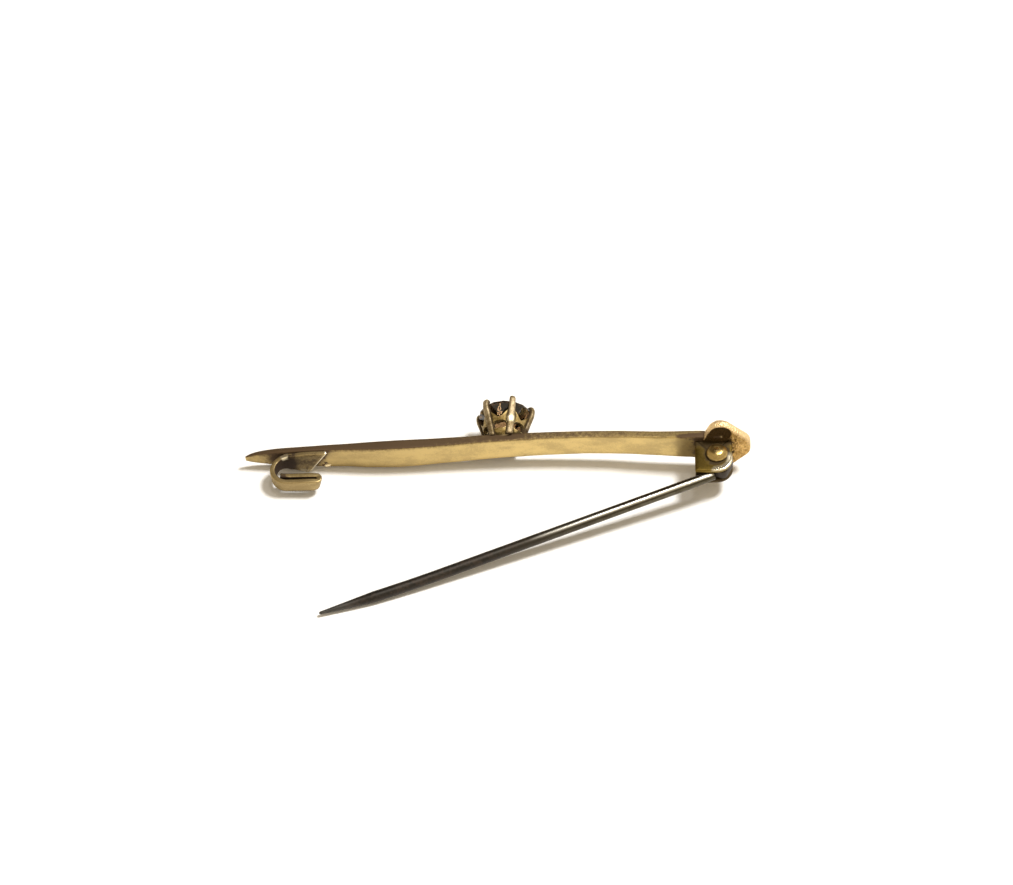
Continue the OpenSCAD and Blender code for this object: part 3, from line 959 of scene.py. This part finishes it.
# A pale line painted along the wire near the eye: a painted highlight
colour = place.mark("polished_line_highlight").mix(colour, rgb(0.80, 0.77, 0.68))
colour = (place.mark("point") * 0.6).mix(colour, rgb(0.075, 0.072, 0.066))
coated(
    place, Base_Color=colour, Metallic=1 - rust * 0.3 - far * 0.3 - rust_and_shade_by_eye * 0.3,
    Roughness=0.20 + tone * 0.06 + rust * 0.12 + far * 0.18 + rust_and_shade_by_eye * 0.25,
    Normal=spots.relief(0.001),
)
# The wire's sections crowd at its neck, in its taper and round its blunted point
taper_s = pin_length - taper_length
lengths = [0.9 + (neck_s - 0.9) * k / 8 for k in range(9)]
lengths += [neck_s + (taper_s - neck_s) * k / 60 for k in range(1, 61)]
lengths += [taper_s + (taper_length - point_r) * k / 24 for k in range(1, 25)]
lengths += [pin_length - point_r * (1 - k / 5) for k in range(1, 6)]
wire = []
for s in lengths:
    r = wire_r - 0.09 + 0.09 * min(1, s / neck_s)
    if s > taper_s:
        r = point_r + (wire_r - point_r) * (1 - ((s - taper_s) / taper_length) ** 1.15)
    if s > pin_length - point_r:
        r = math.sqrt(max(0.0004, point_r**2 - (s - pin_length + point_r) ** 2))
    r *= 1 + 0.012 * noise.noise(Vector((s * 0.8, 0, 4)))
    bend = max(0, (s - bent_from) / (pin_length - bent_from)) ** 2
    out = wire_offset - bent_aside * bend
    wire.append([
        on_pin(s, out + r * math.sin(a), bent_up * bend + r * math.cos(a)) for a in all_round(32)
    ])
wire_points, wire_faces = lofted(wire)
# The eye is round, with a small lobe where the wire leaves it
flank = math.acos((eye_r - fillet) / wire_offset)
eye_outline = [
    Vector((eye_r * math.cos(a), eye_r * math.sin(a)))
    for a in (flank - math.pi / 2 + (2 * math.pi - 2 * flank) * k / 48 for k in range(49))
]
eye_outline += [
    Vector((fillet * math.cos(a), -wire_offset + fillet * math.sin(a)))
    for a in (-math.pi / 2 - flank + 2 * flank * k / 12 for k in range(1, 12))
]
flat_points, eye_faces = plate(eye_outline, -eye_half, eye_half, soft=0.1)
swung = Matrix.Rotation(pin_open, 2)
eye_points = []
for x, y, z in flat_points:
    spot = swung @ Vector((x, y))
    eye_points.append((hinge_x + spot.x, hinge_y + spot.y, z))
eye_faces = [tuple(i + len(wire_points) for i in face) for face in eye_faces]
pin = formed("steel_pin", wire_points + eye_points, wire_faces + eye_faces, material)
bored(pin, [formed("bore", *lofted([
    [(hinge_x + bore_r * math.cos(a), hinge_y + bore_r * math.sin(a), z) for a in all_round(40)]
    for z in (-1, 1)
]), material)])
marked(pin, "point", on_wire(lambda s, out, z: (s - pin_length + 4) / 2.2))
marked(pin, "far", on_wire(lambda s, out, z: (s - 9) / 14))
marked(pin, "polished_line_highlight", on_wire(polished_line_highlight))
marked(pin, "eye", on_wire(lambda s, out, z: max(0.7 - s, wire_offset - 0.5 - out) / 0.3))
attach(pin, "pin")
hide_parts("pin")

# --- What has settled on the gold, and painted shade in its corners --------------------
# Soap, skin and polish have dried in every corner that a cloth can't reach. Each point is
# marked with how much of its surroundings is close to it, whichever piece that is on, and the
# finishes darken by this mark, so it is also painted shade in corners and between the parts.

gold_pieces = [bar, head, catch, bead, cup, rivet, *ears, *claws]
corners, sides = [], []
for piece in [*gold_pieces, stone]:
    sides += [[i + len(corners) for i in face.vertices] for face in piece.data.polygons]
    corners += [v.co for v in piece.data.vertices]
surroundings = BVHTree.FromPolygons(corners, sides)
# The feelers stand in three rings round each point: each ring's lean and its count
near = 2 * mm
feelers = [
    Vector((math.cos(a) * math.sin(t), math.sin(a) * math.sin(t), math.cos(t)))
    for t, count in ((0.25, 3), (0.75, 6), (1.15, 8))
    for a in (2 * math.pi * (k + t) / count for k in range(count))
]
for piece in [*gold_pieces, pin]:
    hidden = []
    for v in piece.data.vertices:
        upright = v.normal.to_track_quat("Z", "Y")
        start = v.co + v.normal * 0.03 * mm
        gaps = [surroundings.ray_cast(start, upright @ ray, near)[3] for ray in feelers]
        hidden.append(sum(1 - gap / near for gap in gaps if gap) / len(feelers))
    carry(piece, "corner_shade_and_dirt", hidden)

# --- The table, the light and the view -------------------------------------------------
# A sheet of pale card under the brooch, a broad soft lamp above and to the right, a small
# lamp overhead, and a dim warm room beyond that the polished tops pick up.

material, place = blank("pale_card")
fibre = place.cloud(0.9, 5, 0.65)
coated(
    place, Base_Color=fibre.eased(0.3, 0.7).mix(rgb(0.82, 0.82, 0.82), rgb(0.86, 0.86, 0.86)),
    Roughness=0.75 + fibre * 0.15, Normal=place.cloud(7, 3).relief(0.01),
)
card_half = 1.5
card = bpy.data.meshes.new("card")
card.from_pydata(
    [(x * card_half, y * card_half, 0) for x, y in ((-1, -1), (1, -1), (1, 1), (-1, 1))],
    [], [(0, 1, 2, 3)],
)
card.materials.append(material)
card = bpy.data.objects.new("card", card)
bpy.context.collection.objects.link(card)
card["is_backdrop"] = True


def lamp(name, direction, distance, size, power, colour):
    """A round lamp that shines on the brooch from a direction"""
    light = bpy.data.lights.new(name, "AREA")
    light.shape, light.size, light.energy, light.color = "DISK", size, power, colour
    held = bpy.data.objects.new(name, light)
    bpy.context.collection.objects.link(held)
    held.location = Vector(direction).normalized() * distance
    held.rotation_mode = "QUATERNION"
    held.rotation_quaternion = Vector(direction).to_track_quat("Z", "Y")


lamp(
    "soft_key", (0.42, 0.11, 0.9), distance=0.5, size=0.12, power=2.9, colour=(1.0, 0.99, 0.97)
)
lamp(
    "overhead", (0.08, 0.05, 1.0), distance=0.6, size=0.06, power=0.3, colour=(1.0, 0.98, 0.95)
)

world = bpy.context.scene.world or bpy.data.worlds.new("room")
bpy.context.scene.world = world
world.use_nodes = True
world.node_tree.nodes.clear()
start = Signal(world.node_tree, None)
heading = start.node("ShaderNodeTexCoord", None, None, "Generated")
beyond = heading.towards((-0.1, 0.60, 0.79))
room = beyond.eased(0.62, 0.92).mix(rgb(0.95, 0.82, 0.62), rgb(0.07, 0.04, 0.015))
glow = start.node("ShaderNodeBackground", None, {"Color": room, "Strength": 0.8})
start.node("ShaderNodeOutputWorld", None, {"Surface": glow})

# The lens stands 300 mm off and looks down 48 degrees. Its focal length comes from how many
# pixels a metre takes across the middle of the picture.
lens = bpy.data.cameras.new("view")
view = bpy.data.objects.new("view", lens)
bpy.context.collection.objects.link(view)
bpy.context.scene.camera = view
look_down, swing, tilt = math.radians(48.05), math.radians(-3.45), math.radians(-2.49)
target, distance = Vector((0.739, 9.640, 0)) * mm, 300 * mm
pixels_per_metre, picture_width = 10.80 / mm, 1013
ahead = Vector((
    math.sin(swing) * math.cos(look_down), math.cos(swing) * math.cos(look_down),
    -math.sin(look_down),
))
right = Vector((math.cos(swing), -math.sin(swing), 0))
up = right.cross(ahead)
right, up = (
    math.cos(tilt) * right + math.sin(tilt) * up, math.cos(tilt) * up - math.sin(tilt) * right
)
view.matrix_world = Matrix.Translation(target - ahead * distance) @ Matrix(
    (right, up, -ahead)
).transposed().to_4x4()
lens.sensor_width = 36
lens.lens = lens.sensor_width * pixels_per_metre * distance / picture_width
lens.clip_start, lens.clip_end = 0.01, 10

bpy.context.scene.view_settings.view_transform = "Standard"

low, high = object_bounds()
